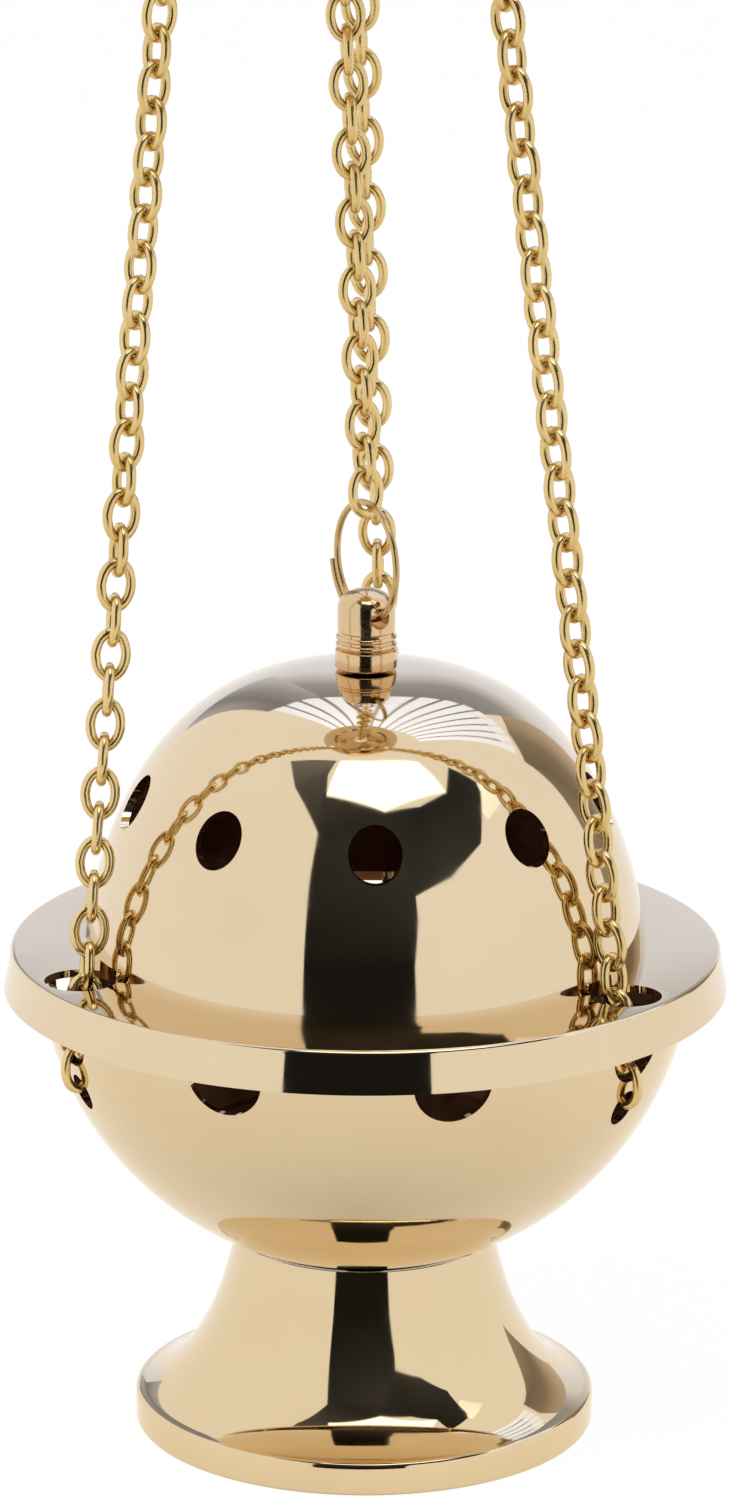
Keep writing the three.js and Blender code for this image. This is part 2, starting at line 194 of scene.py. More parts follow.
# Stage; azimuths run from the front towards the right, in degrees
FLOOR_HALF = 4.0
FLOOR_DROP = 0.0002
FLOOR_COLOUR = (0.94, 0.94, 0.94)
FLOOR_GLOW = 0.97
STAGE_CENTRE = Vector((0, 0, 0.09))
SHEET_REACH = 1.6
LEFT_SHEET_REACH = 1.45
SLAT_REACH = 1.5
COOL_TINT = (0.93, 1.0, 1.2)
WARM_TINT = (1.0, 0.85, 0.7)
SLAT_TINT = (0.85, 0.98, 1.35)
BELOW_TINT = (1.0, 0.96, 0.87)
HIGHLIGHT = 2.4
BEHIND_FROM = 205
BEHIND_STEP = 5
BEHIND_COLUMNS = 12
BEHIND_TOP_COLUMNS = 17
BELOW_STEP = 30
BELOW_COLUMNS = 13
SLAT_COUNT = 14
SLAT_STEP = 5.8
SLAT_WIDTH = 4.6
SLAT_LOW = 40
SLAT_LOWER_EACH = 0.4
SLAT_HIGH = 70
SLAT_BRIGHTNESS = (1.3, 1.6)
AROUND_COLOUR = (0.95, 0.96, 1.0)
AROUND_STRENGTH = 0.7

# Camera, fitted to the photograph
CAMERA_PLACE = (0.0, -0.8264, 0.3213)
CAMERA_PITCH = 15.45
CAMERA_ROLL = 0.17
CAMERA_LENS = 156.3
CAMERA_SENSOR = 36


# Shapes

def outward(azimuth):
    """The horizontal direction at an azimuth in degrees, from the front towards the right."""
    angle = math.radians(azimuth)
    return Vector((math.sin(angle), -math.cos(angle), 0))


def beside(path, distance):
    """The same path of (radius, height) points moved sideways, to its left as it runs."""
    moved = []
    for i, point in enumerate(path):
        before = path[max(i - 1, 0)]
        after = path[min(i + 1, len(path) - 1)]
        run = (after[0] - before[0], after[1] - before[1])
        length = math.hypot(*run)
        moved.append((point[0] - distance * run[1] / length, point[1] + distance * run[0] / length))
    return moved


def corner(cx, cz, radius, start, end, steps=6):
    """Points of a rounded corner, from one angle in degrees to another."""
    angles = [math.radians(start + (end - start) * i / steps) for i in range(steps + 1)]
    return [(cx + radius * math.cos(a), cz + radius * math.sin(a)) for a in angles]


def make_object(name, bm, material, smooth_angle=SMOOTH_ANGLE):
    bmesh.ops.recalc_face_normals(bm, faces=bm.faces)
    mesh = bpy.data.meshes.new(name)
    bm.to_mesh(mesh)
    bm.free()
    obj = bpy.data.objects.new(name, mesh)
    bpy.context.scene.collection.objects.link(obj)
    mesh.materials.append(material)
    smooth(obj, smooth_angle)
    return obj


def smooth(obj, angle=SMOOTH_ANGLE):
    obj.data.shade_smooth()
    obj.data.set_sharp_from_angle(angle=math.radians(angle))


def lathe(name, outline, material, steps=ROUND_STEPS, centre=(0, 0)):
    """A closed outline of (radius, height) points turned about a vertical axis."""
    bm = bmesh.new()
    rings = []
    for r, z in outline:
        if r == 0:
            rings.append([bm.verts.new((centre[0] * MM, centre[1] * MM, z * MM))])
            continue
        ring = []
        for i in range(steps):
            angle = 2 * math.pi * i / steps
            x = centre[0] + r * math.cos(angle)
            y = centre[1] + r * math.sin(angle)
            ring.append(bm.verts.new((x * MM, y * MM, z * MM)))
        rings.append(ring)
    for k, ring in enumerate(rings):
        after = rings[(k + 1) % len(rings)]
        for i in range(steps):
            j = (i + 1) % steps
            corners = (ring[i % len(ring)], ring[j % len(ring)], after[j % len(after)], after[i % len(after)])
            face = list(dict.fromkeys(corners))
            if len(face) > 2:
                bm.faces.new(face)
    return make_object(name, bm, material)


def join_rings(bm, ring, after):
    """A band of faces between two rings of as many vertices."""
    for i in range(len(ring)):
        j = (i + 1) % len(ring)
        bm.faces.new((ring[i], ring[j], after[j], after[i]))


def add_tube(bm, points, radius, sides, closed):
    """A round wire along points in millimetres, its ends capped where it is open."""
    count = len(points)
    rings = []
    normal = None
    for i, point in enumerate(points):
        before = points[i - 1] if closed or i else point
        after = points[(i + 1) % count] if closed or i < count - 1 else point
        run = (after - before).normalized()
        if normal is None:
            normal = run.orthogonal()
        normal = (normal - run * normal.dot(run)).normalized()
        across = run.cross(normal)
        ring = []
        for k in range(sides):
            angle = 2 * math.pi * k / sides
            place = point + radius * (math.cos(angle) * normal + math.sin(angle) * across)
            ring.append(bm.verts.new(place * MM))
        rings.append(ring)
    for i in range(count if closed else count - 1):
        join_rings(bm, rings[i], rings[(i + 1) % count])
    if not closed:
        bm.faces.new(rings[0])
        bm.faces.new(rings[-1])


def prism(bm, outline, azimuth, near, far):
    """A radial prism: an outline of (sideways, height) points carried from one distance to another."""
    out = outward(azimuth)
    side = Vector((-out.y, out.x, 0))
    ends = []
    for distance in (near, far):
        ends.append([bm.verts.new((out * distance + side * s + Vector((0, 0, z))) * MM) for s, z in outline])
    join_rings(bm, *ends)
    bm.faces.new(ends[0])
    bm.faces.new(ends[1])


def circle(radius, height, steps=48):
    """An outline of (sideways, height) points for a prism."""
    angles = [2 * math.pi * i / steps for i in range(steps)]
    return [(radius * math.cos(a), height + radius * math.sin(a)) for a in angles]


def upright(bm, radius, x, y, bottom, top, steps=48):
    """An upright round rod."""
    angles = [2 * math.pi * i / steps for i in range(steps)]
    ring = [(x + radius * math.cos(a), y + radius * math.sin(a)) for a in angles]
    ends = []
    for z in (bottom, top):
        ends.append([bm.verts.new((px * MM, py * MM, z * MM)) for px, py in ring])
    join_rings(bm, *ends)
    bm.faces.new(ends[0])
    bm.faces.new(ends[1])


def cut(obj, bm):
    """Takes the closed forms in bm out of obj."""
    cutter = make_object("cutter", bm, obj.data.materials[0])
    modifier = obj.modifiers.new("cut", "BOOLEAN")
    modifier.operation = "DIFFERENCE"
    modifier.solver = "EXACT"
    modifier.object = cutter
    graph = bpy.context.evaluated_depsgraph_get()
    mesh = bpy.data.meshes.new_from_object(obj.evaluated_get(graph))
    obj.modifiers.clear()
    obj.data = mesh
    bpy.data.objects.remove(cutter)
    smooth(obj)


def darken_inward_faces(obj, centre_height, dark_finish):
    """Gives the faces that look inwards a second, dark brown brass, much darker than the outside."""
    obj.data.materials.append(dark_finish)
    centre = Vector((0, 0, centre_height * MM))
    for face in obj.data.polygons:
        if face.normal.dot((face.center - centre).normalized()) < INWARD_FACING:
            face.material_index = 1


# Materials

def noise(nodes, links, place, scale, detail):
    """A noise over the piece's own coordinates."""
    texture = nodes.new("ShaderNodeTexNoise")
    texture.inputs["Scale"].default_value = scale
    texture.inputs["Detail"].default_value = detail
    links.new(place.outputs["Object"], texture.inputs["Vector"])
    return texture.outputs["Fac"]


def brass(name, light, dark, roughness, spread, ripple, ripple_scale, grain):
    """Brass whose tone and gloss drift a little, with a slight waviness and fine marks."""
    material = bpy.data.materials.new(name)
    material.use_nodes = True
    nodes = material.node_tree.nodes
    links = material.node_tree.links
    shader = nodes["Principled BSDF"]
    shader.inputs["Metallic"].default_value = 1.0
    place = nodes.new("ShaderNodeTexCoord")
    tone = nodes.new("ShaderNodeMix")
    tone.data_type = "RGBA"
    tone.inputs["A"].default_value = (*dark, 1)
    tone.inputs["B"].default_value = (*light, 1)
    links.new(noise(nodes, links, place, DRIFT_SCALE, DRIFT_DETAIL), tone.inputs["Factor"])
    links.new(tone.outputs["Result"], shader.inputs["Base Color"])
    gloss = nodes.new("ShaderNodeMapRange")
    gloss.inputs["From Min"].default_value = GRAIN_LOW
    gloss.inputs["From Max"].default_value = GRAIN_HIGH
    gloss.inputs["To Min"].default_value = roughness
    gloss.inputs["To Max"].default_value = roughness + spread
    links.new(noise(nodes, links, place, grain, GRAIN_DETAIL), gloss.inputs["Value"])
    links.new(gloss.outputs["Result"], shader.inputs["Roughness"])
    bump = nodes.new("ShaderNodeBump")
    bump.inputs["Strength"].default_value = 1.0
    bump.inputs["Distance"].default_value = ripple
    links.new(noise(nodes, links, place, ripple_scale, RIPPLE_DETAIL), bump.inputs["Height"])
    links.new(bump.outputs["Normal"], shader.inputs["Normal"])
    return material


POLISHED = brass(
    "polished_brass", light=(0.81, 0.67, 0.47), dark=(0.73, 0.57, 0.36),
    roughness=0.03, spread=0.05, ripple=0.00006, ripple_scale=45, grain=140)
FOOT = brass(
    "foot_brass", light=(0.80, 0.65, 0.43), dark=(0.72, 0.55, 0.32),
    roughness=0.03, spread=0.05, ripple=0.00006, ripple_scale=45, grain=140)
TURNED = brass(
    "turned_brass", light=(0.80, 0.60, 0.37), dark=(0.62, 0.42, 0.22),
    roughness=0.08, spread=0.12, ripple=0.00004, ripple_scale=500, grain=300)
CHAIN = brass(
    "chain_brass", light=(0.88, 0.69, 0.35), dark=(0.68, 0.47, 0.17),
    roughness=0.20, spread=0.10, ripple=0.00002, ripple_scale=350, grain=500)
RING = brass(
    "ring_wire", light=(0.72, 0.52, 0.25), dark=(0.50, 0.33, 0.13),
    roughness=0.22, spread=0.15, ripple=0.00002, ripple_scale=700, grain=500)
# Dark brown, rougher brass for the faces that look inwards in the lid and bowl, and for the charcoal pan
DARK_INSIDE = brass(
    "sooted_brass", light=(0.62, 0.34, 0.19), dark=(0.14, 0.06, 0.035),
    roughness=0.28, spread=0.3, ripple=0.0003, ripple_scale=260, grain=200)


# Pieces

def place_piece(obj, body, slot, *nodes):
    """Puts a piece on its body, in place of the solids it dresses; its slot is not used."""
    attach(obj, body)
    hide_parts(*nodes)


def sphere_height(radius, place):
    """Height of the underside of a sphere about the bowl's centre, at a distance from the axis."""
    return BRIM_TOP - math.sqrt(radius * radius - place * place)


def chain_azimuth(i):
    return FIRST_CHAIN + 360 * i / CHAIN_COUNT


def make_lid():
    dome = []
    for i in range(DOME_STEPS):
        angle = math.pi / 2 * i / DOME_STEPS
        r = DOME_RADIUS * math.cos(angle) ** (2 / DOME_RADIUS_POWER)
        z = BRIM_TOP + DOME_HEIGHT * math.sin(angle) ** (2 / DOME_HEIGHT_POWER)
        dome.append((r, z))
    outer = [(SKIRT_RADIUS, BRIM_TOP - SKIRT_DEPTH)]
    outer.append((BRIM_RADIUS + SKIRT_BULGE, BRIM_TOP - SKIRT_DEPTH / 2))
    outer += corner(BRIM_RADIUS - BRIM_ROUND, BRIM_TOP - BRIM_ROUND, BRIM_ROUND, 0, 90)
    outer += dome
    top = BRIM_TOP + DOME_HEIGHT
    crown = [(LID_SCREW_HOLE, top), (LID_SCREW_HOLE, top - LID_WALL)]
    inside = [p for p in beside(dome, LID_WALL) if p[0] > LID_SCREW_HOLE + LID_CROWN_FLAT and p[1] > BRIM_TOP]
    under = [(r - LID_WALL, BRIM_TOP - LID_WALL) for r in (DOME_RADIUS, BRIM_RADIUS)]
    under.append((SKIRT_RADIUS - LID_WALL, BRIM_TOP - SKIRT_DEPTH))
    lid = lathe("lid_shell", outer + crown + inside[::-1] + under, POLISHED)
    bm = bmesh.new()
    for i in range(VENT_COUNT):
        azimuth = VENT_START + 360 * i / VENT_COUNT
        prism(bm, circle(VENT_RADIUS, BRIM_TOP + VENT_HEIGHT), azimuth, *VENT_REACH)
    for i in range(CHAIN_COUNT):
        place = outward(chain_azimuth(i)) * CHAIN_HOLE_PLACE
        upright(bm, CHAIN_HOLE_RADIUS, place.x, place.y, *CHAIN_HOLE_CUT)
    cut(lid, bm)
    darken_inward_faces(lid, LID_INSIDE_CENTRE, DARK_INSIDE)
    place_piece(lid, "lid", "polished_brass", "lid")


def make_bowl():
    outer = []
    inner = []
    for radius, path in ((BOWL_RADIUS, outer), (BOWL_RADIUS - BOWL_WALL, inner)):
        low = math.asin(FOOT_SCREW_HOLE / radius)
        high = math.pi / 2 - math.asin((BRIM_TOP - RIM_HEIGHT) / radius)
        for i in range(BOWL_STEPS + 1):
            angle = low + (high - low) * i / BOWL_STEPS
            path.append((radius * math.sin(angle), BRIM_TOP - radius * math.cos(angle)))
    bowl = lathe("bowl_shell", outer + inner[::-1], POLISHED)
    bm = bmesh.new()
    u_shape = [(NOTCH_RADIUS, NOTCH_TOP)]
    u_shape += corner(0, NOTCH_HEIGHT, NOTCH_RADIUS, 0, -180, HOLE_STEPS)
    u_shape.append((-NOTCH_RADIUS, NOTCH_TOP))
    hole = NOTCH_HEIGHT - NOTCH_RADIUS - BRIDGE - LINK_HOLE_RADIUS
    for i in range(NOTCH_COUNT):
        azimuth = FIRST_CHAIN + 360 * i / NOTCH_COUNT
        prism(bm, u_shape, azimuth, *NOTCH_REACH)
        if i % (NOTCH_COUNT // CHAIN_COUNT) == 0:
            prism(bm, circle(LINK_HOLE_RADIUS, hole, HOLE_STEPS), azimuth, *NOTCH_REACH)
    cut(bowl, bm)
    darken_inward_faces(bowl, BRIM_TOP, DARK_INSIDE)
    place_piece(bowl, "bowl_and_hanger", "polished_brass", "bowl")


def bezier(a, b, c, d, steps):
    """Points along a cubic curve through a and d, steered by b and c."""
    points = []
    for i in range(steps + 1):
        t = i / steps
        weights = ((1 - t) ** 3, 3 * t * (1 - t) ** 2, 3 * t * t * (1 - t), t ** 3)
        points.append(tuple(sum(w * p[k] for w, p in zip(weights, (a, b, c, d))) for k in range(2)))
    return points


def make_foot():
    neck = (NECK_RADIUS, sphere_height(BOWL_RADIUS + GAP, NECK_RADIUS))
    flare = bezier(
        (FOOT_RADIUS - FLARE_EDGE, FOOT_RIM),
        (FOOT_RADIUS - FLARE_INSET, FOOT_RIM + FLARE_LIFT),
        (NECK_RADIUS + NECK_FLARE, FOOT_RIM + NECK_FLARE_HEIGHT),
        neck, FLARE_STEPS)
    inner = FOOT_RADIUS - FOOT_RIM_WIDTH
    rim = [(inner, FOOT_RIM - FOOT_RIM_STEP), (inner, 0)]
    rim += corner(FOOT_RADIUS - FOOT_LOW_ROUND, FOOT_LOW_ROUND, FOOT_LOW_ROUND, -90, 0)
    rim += corner(FOOT_RADIUS - FOOT_TOP_ROUND, FOOT_RIM - FOOT_TOP_ROUND, FOOT_TOP_ROUND, 0, 75)
    seat_from = NECK_RADIUS - SEAT_INSET
    under_to = NECK_RADIUS - UNDER_SEAT_INSET
    shares = [i / SEAT_STEPS for i in range(SEAT_STEPS + 1)]
    seat_places = [seat_from - (seat_from - FOOT_SCREW_HOLE) * share for share in shares]
    seat = [(r, sphere_height(BOWL_RADIUS + GAP, r)) for r in seat_places]
    under_places = [FOOT_SCREW_HOLE + (under_to - FOOT_SCREW_HOLE) * share for share in shares]
    under = [(r, sphere_height(BOWL_RADIUS + GAP + FOOT_WALL, r)) for r in under_places]
    inside = beside(flare, FOOT_WALL)[::-1][1:]
    foot = lathe("foot_flare", rim + flare + seat + under + inside, FOOT)
    place_piece(foot, "bowl_and_hanger", "polished_brass", "foot")


def finial_base():
    return BRIM_TOP + DOME_HEIGHT + GAP


def cross_hole_height():
    return finial_base() + CROSS_HOLE_HEIGHT


def make_finial():
    base = finial_base()
    r = FINIAL_RADIUS
    outline = [(FINIAL_BORE, base), (r - BASE_ROUND, base)]
    outline += corner(r - BASE_ROUND, base + BASE_ROUND, BASE_ROUND, -90, 0, 4)
    outline += corner(r - COLLAR_ROUND, base + COLLAR_HEIGHT, COLLAR_ROUND, 0, 90, 4)
    for height in BEAD_HEIGHTS:
        outline.append((r - GROOVE_INSET, base + height - GROOVE_DROP))
        outline += corner(r - BEAD_INSET, base + height, BEAD_RADIUS, -80, 80)
    outline.append((r - NECK_INSET, base + NECK_HEIGHT))
    barrel = r - BARREL_INSET
    outline += [(barrel, base + BARREL_FROM), (barrel, base + BARREL_TO)]
    for i in range(1, TIP_STEPS):
        angle = math.pi / 2 * i / TIP_STEPS
        z = base + BARREL_TO + (FINIAL_HEIGHT - BARREL_TO) * math.sin(angle)
        outline.append((barrel * math.cos(angle), z))
    outline.append((0, base + FINIAL_HEIGHT))
    outline += [(0, base + FINIAL_BORE_DEPTH), (FINIAL_BORE, base + FINIAL_BORE_DEPTH)]
    finial = lathe("finial_turned", outline, TURNED, FINIAL_STEPS)
    bm = bmesh.new()
    hole = circle(CROSS_HOLE_RADIUS, cross_hole_height(), CROSS_HOLE_STEPS)
    prism(bm, hole, RING_ANGLE, -CROSS_HOLE_REACH, CROSS_HOLE_REACH)
    cut(finial, bm)
    place_piece(finial, "lid", "turned_brass", "finial")


def lid_ring_centre():
    return cross_hole_height() + LID_RING_RADIUS + LID_RING_WIRE / 2 - CROSS_HOLE_RADIUS + GAP


def make_lid_ring():
    points = []
    for i in range(LID_RING_STEPS + 1):
        turn = (360 + TAIL_OVERLAP) * i / LID_RING_STEPS
        share = min(max((turn - TAIL_OVERLAP) / TAIL_EASE, 0), 1)
        ease = share * share * (3 - 2 * share)
        radius = LID_RING_RADIUS + TAIL_RISE * (1 - ease)
        angle = math.radians(RING_START + turn)
        point = outward(RING_ANGLE) * (-radius * math.sin(angle))
        point.z = lid_ring_centre() + radius * math.cos(angle)
        points.append(point)
    bm = bmesh.new()
    add_tube(bm, points, LID_RING_WIRE / 2, RING_SIDES, False)
    ring = make_object("lid_ring_wire", bm, RING)
    place_piece(ring, "lid", "ring_wire", "lid_ring")


def add_link(bm, bar, along, flat, length):
    """One oval link from the centre of its first bar."""
    centre = bar + along * (length / 2)
    side = (flat - along * flat.dot(along)).normalized()
    half_width = (LINK_WIDTH - WIRE) / 2
    points = []
    for i in range(LINK_STEPS):
        angle = 2 * math.pi * i / LINK_STEPS
        sideways = side * (half_width * math.cos(angle))
        points.append(centre + sideways + along * (length / 2 * math.sin(angle)))
    add_tube(bm, points, WIRE / 2, LINK_SIDES, True)


def chain_piece(name, start, end, count, first, last, azimuth, twist, body, nodes):
    """Links first to last of a chain from start to end; twist(i) turns link i, in degrees."""
    along = (end - start).normalized()
    pitch = ((end - start).length - WIRE - LINK_PLAY) / count
    bm = bmesh.new()
    for i in range(first, last):
        turn = azimuth + 90 * (i % 2) + twist(i)
        add_link(bm, start + along * (pitch * i), along, outward(turn), pitch + WIRE + LINK_PLAY)
    piece = make_object(name, bm, CHAIN, LINK_SMOOTH_ANGLE)
    place_piece(piece, body, "chain_brass", *nodes)


# Twist of a bowl chain: none at either end, where its link holds on the bowl or the hanger
def left_chain_twist(i):
    return LEFT_CHAIN_TWIST * math.sin(2 * math.pi * i / (BOWL_LINKS - 1))


def right_chain_twist(i):
    return RIGHT_CHAIN_TWIST * math.sin(math.pi * i / (BOWL_LINKS - 1))


def rear_chain_twist(i):
    return 0


def lift_chain_twist(i):
    return -RING_ANGLE * i / (LIFT_LINKS - 1)


def make_bowl_chains():
    sides = (("left", left_chain_twist), ("right", right_chain_twist), ("rear", rear_chain_twist))
    for k, (side, twist) in enumerate(sides):
        azimuth = chain_azimuth(k)
        start = outward(azimuth) * BOWL_LINK_PLACE
        start.z = NOTCH_HEIGHT - NOTCH_RADIUS - BRIDGE - GAP - WIRE / 2 - BOWL_LINK_DROP
        end = outward(azimuth) * HANGER_CHAIN_PLACE
        end.x += HANGER_X
        end.z = HANGER_HEIGHT + HANGER_THICKNESS + GAP + WIRE / 2 + HANGER_LINK_LIFT
        low = (f"chain_{side}_bowl_link", f"chain_{side}_lower")
        high = (f"chain_{side}_upper", f"chain_{side}_hanger_link")
        stretches = (("lower", 0, LOWER_LINKS, low), ("upper", LOWER_LINKS, BOWL_LINKS, high))
        for part, first, last, nodes in stretches:
            name = f"{side}_{part}_links"
            body = f"{side}_{part}"
            chain_piece(name, start, end, BOWL_LINKS, first, last, azimuth, twist, body, nodes)


def plateau_top():
    return HANGER_HEIGHT + HANGER_THICKNESS + PLATEAU_RISE


def make_lift_chain():
    start = Vector((0, 0, lid_ring_centre() + LID_RING_RADIUS - LID_RING_WIRE / 2 - GAP - WIRE / 2))
    end = Vector((HANGER_X, 0, plateau_top() + GAP + LIFT_RING_WIRE + GAP + WIRE / 2))
    nodes = ("lift_chain_lid_link", "lift_chain", "lift_chain_ring_link")
    azimuth = RING_ANGLE + 90
    chain_piece("lift_links", start, end, LIFT_LINKS, 0, LIFT_LINKS, azimuth, lift_chain_twist, "lid", nodes)


def make_lift_ring():
    points = []
    for i in range(LIFT_RING_STEPS):
        angle = 2 * math.pi * i / LIFT_RING_STEPS
        x = HANGER_X + LIFT_RING_RADIUS * math.cos(angle)
        y = LIFT_RING_RADIUS + LIFT_RING_RADIUS * math.sin(angle)
        points.append(Vector((x, y, plateau_top() + GAP + LIFT_RING_WIRE / 2)))
    bm = bmesh.new()
    add_tube(bm, points, LIFT_RING_WIRE / 2, RING_SIDES, True)
    ring = make_object("lift_ring_wire", bm, RING)
    place_piece(ring, "lift_ring", "ring_wire", "lift_ring")


def make_hanger():
    edge = HANGER_CHAIN_PLACE + HANGER_STRIP / 2
    low = HANGER_HEIGHT
    high = low + HANGER_THICKNESS
    step = PLATEAU_RADIUS + PLATEAU_SLOPE
    outline = [(LIFT_HOLE_RADIUS, low + PLATEAU_RISE)]
    outline += [(PLATEAU_RADIUS - PLATEAU_SLOPE, low + PLATEAU_RISE), (step, low)]
    outline += corner(edge - HANGER_ROUND, low + HANGER_ROUND, HANGER_ROUND, -90, 0)
    outline += corner(edge - HANGER_ROUND, high - HANGER_ROUND, HANGER_ROUND, 0, 90)
    outline += [(step + PLATEAU_SLOPE, high), (PLATEAU_RADIUS, plateau_top())]
    outline.append((LIFT_HOLE_RADIUS, plateau_top()))
    plate = lathe("hanger_disc", outline, POLISHED, HANGER_STEPS, (HANGER_X, 0))
    bm = bmesh.new()
    bottom = low - CUT_MARGIN
    hole_place = HANGER_CHAIN_PLACE - HANGER_STRIP / 2 - HANGER_HOLE_RADIUS
    top = high + CUT_MARGIN
    for i in range(CHAIN_COUNT):
        place = outward(chain_azimuth(i)) * hole_place
        upright(bm, HANGER_HOLE_RADIUS, HANGER_X + place.x, place.y, bottom, top, HOLE_STEPS)
    top = plateau_top() + CUT_MARGIN
    for side in (-1, 1):
        x = HANGER_X + side * BAIL_HALF_SPAN
        upright(bm, BAIL_WIRE / 2 + GAP, x, 0, bottom, top, HOLE_STEPS)
    cut(plate, bm)
    place_piece(plate, "bowl_and_hanger", "polished_brass", "hanger_plate")


def make_bail():
    shoulder = plateau_top() + BAIL_HEIGHT - BAIL_HALF_SPAN
    points = [Vector((HANGER_X - BAIL_HALF_SPAN, 0, BAIL_FOOT))]
    for i in range(BAIL_STEPS + 1):
        angle = math.pi * (1 - i / BAIL_STEPS)
        x = HANGER_X + BAIL_HALF_SPAN * math.cos(angle)
        points.append(Vector((x, 0, shoulder + BAIL_HALF_SPAN * math.sin(angle))))
    points.append(Vector((HANGER_X + BAIL_HALF_SPAN, 0, BAIL_FOOT)))
    bm = bmesh.new()
    add_tube(bm, points, BAIL_WIRE / 2, BAIL_SIDES, False)
    bail = make_object("bail_wire", bm, TURNED)
    place_piece(bail, "bowl_and_hanger", "turned_brass", "hanger_bail")


def dress_cad_nodes():
    """The hardware that keeps its own solids."""
    looks = {
        "foot_screw": TURNED, "foot_washer": TURNED, "foot_nut": TURNED, "charcoal_pan": DARK_INSIDE,
        "finial_screw": TURNED, "finial_washer": TURNED, "bail_nut_left": TURNED, "bail_nut_right": TURNED,
    }
    for name, material in looks.items():
        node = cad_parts[name]
        node.data.materials.clear()
        node.data.materials.append(material)


# Stage

def seen_directly(nodes, links):
    """One for camera, glossy and transmission rays, else zero."""
    path = nodes.new("ShaderNodeLightPath")
    either = nodes.new("ShaderNodeMath")
    either.operation = "MAXIMUM"
    any_of = nodes.new("ShaderNodeMath")
    any_of.operation = "MAXIMUM"
    links.new(path.outputs["Is Camera Ray"], either.inputs[0])
    links.new(path.outputs["Is Glossy Ray"], either.inputs[1])
    links.new(either.outputs[0], any_of.inputs[0])
    links.new(path.outputs["Is Transmission Ray"], any_of.inputs[1])
    return any_of.outputs[0]


def floor_material():
    """White, seen directly as a nearly even glow with a soft shadow."""
    material = bpy.data.materials.new("floor")
    material.use_nodes = True
    nodes = material.node_tree.nodes
    links = material.node_tree.links
    nodes.clear()
    matt = nodes.new("ShaderNodeBsdfDiffuse")
    matt.inputs["Color"].default_value = (*FLOOR_COLOUR, 1)
    glow = nodes.new("ShaderNodeEmission")
    seen = seen_directly(nodes, links)
    share = nodes.new("ShaderNodeMath")
    share.operation = "MULTIPLY"
    share.inputs[1].default_value = FLOOR_GLOW
    mix = nodes.new("ShaderNodeMixShader")
    out = nodes.new("ShaderNodeOutputMaterial")
    links.new(seen, share.inputs[0])
    links.new(share.outputs[0], mix.inputs["Fac"])
    links.new(matt.outputs[0], mix.inputs[1])
    links.new(glow.outputs[0], mix.inputs[2])
    links.new(mix.outputs[0], out.inputs["Surface"])
    return material


def sheet_material():
    """Light by the brightness held at a sheet's corners."""
    material = bpy.data.materials.new("sheet_glow")
    material.use_nodes = True
    nodes = material.node_tree.nodes
    nodes.clear()
    corners = nodes.new("ShaderNodeVertexColor")
    corners.layer_name = "brightness"
    glow = nodes.new("ShaderNodeEmission")
    out = nodes.new("ShaderNodeOutputMaterial")
    material.node_tree.links.new(corners.outputs["Color"], glow.inputs["Color"])
    material.node_tree.links.new(glow.outputs[0], out.inputs["Surface"])
    return material


def sheet(name, rows, material, tint=(1, 1, 1), reach=SHEET_REACH):
    """A strip that only reflections see, in rows of two corners: azimuth, elevation, brightness."""
    bm = bmesh.new()
    layer = bm.loops.layers.float_color.new("brightness")
    grid = []
    for row in rows:
        verts = []
        for azimuth, elevation, brightness in row:
            rise = math.radians(elevation)
            direction = outward(azimuth) * math.cos(rise) + Vector((0, 0, math.sin(rise)))
            verts.append((bm.verts.new(STAGE_CENTRE + direction * reach), brightness))
        grid.append(verts)
    for low, high in zip(grid, grid[1:]):
        corners = [low[0], low[1], high[1], high[0]]
        face = bm.faces.new([vert for vert, brightness in corners])
        for loop, (vert, brightness) in zip(face.loops, corners):
            loop[layer] = (*[brightness * part for part in tint], 1)
    obj = make_object(name, bm, material)
    obj.visible_camera = False
    obj.visible_diffuse = False
    obj.visible_shadow = False


def lamp(name, place, size, power):
    """A round lamp that lights the middle of the stage and isn't mirrored."""
    light = bpy.data.lights.new(name, "AREA")
    light.shape = "DISK"
    light.size = size
    light.energy = power
    obj = bpy.data.objects.new(name, light)
    bpy.context.scene.collection.objects.link(obj)
    obj.location = place
    obj.rotation_euler = (STAGE_CENTRE - Vector(place)).to_track_quat("-Z", "Y").to_euler()
    obj.visible_glossy = False


def make_floor():
    bm = bmesh.new()
    for x, y in ((-1, -1), (1, -1), (1, 1), (-1, 1)):
        bm.verts.new((x * FLOOR_HALF, y * FLOOR_HALF, -FLOOR_DROP))
    bm.faces.new(bm.verts)
    floor = make_object("floor", bm, floor_material())
    floor.visible_glossy = False


def column_azimuths(start, step, count):
    return [start + step * i for i in range(count)]


def make_dark_sheets(glow):
    front = [
        ((-24, -17, 0.012), (20, -17, 0.012)),
        ((-25, 8, 0.012), (20, 8, 0.012)),
        ((-26, 20, 0.02), (23, 20, 0.03)),
        ((-28, 41, 0.03), (24, 41, 0.05)),
        ((-34, 61, 0.06), (14, 56, 0.03)),
    ]
    front_right = [
        ((21, 26, 0.04), (13, 56, 0.03)),
        ((42, 29, 0.05), (40, 55, 0.02)),
        ((63, 34, 0.04), (64, 55, 0.02)),
        ((88, 48, 0.03), (88, 61, 0.02)),
    ]
    front_left = [
        ((-29, 46, 0.04), (-34, 61.5, 0.04)),
        ((-62, 59, 0.1), (-48, 71, 0.1)),
        ((-92, 64, 0.2), (-66, 79, 0.2)),
    ]
    sheet("dark_front", front, glow)
    sheet("dark_front_right", front_right, glow)
    sheet("dark_front_left", front_left, glow)


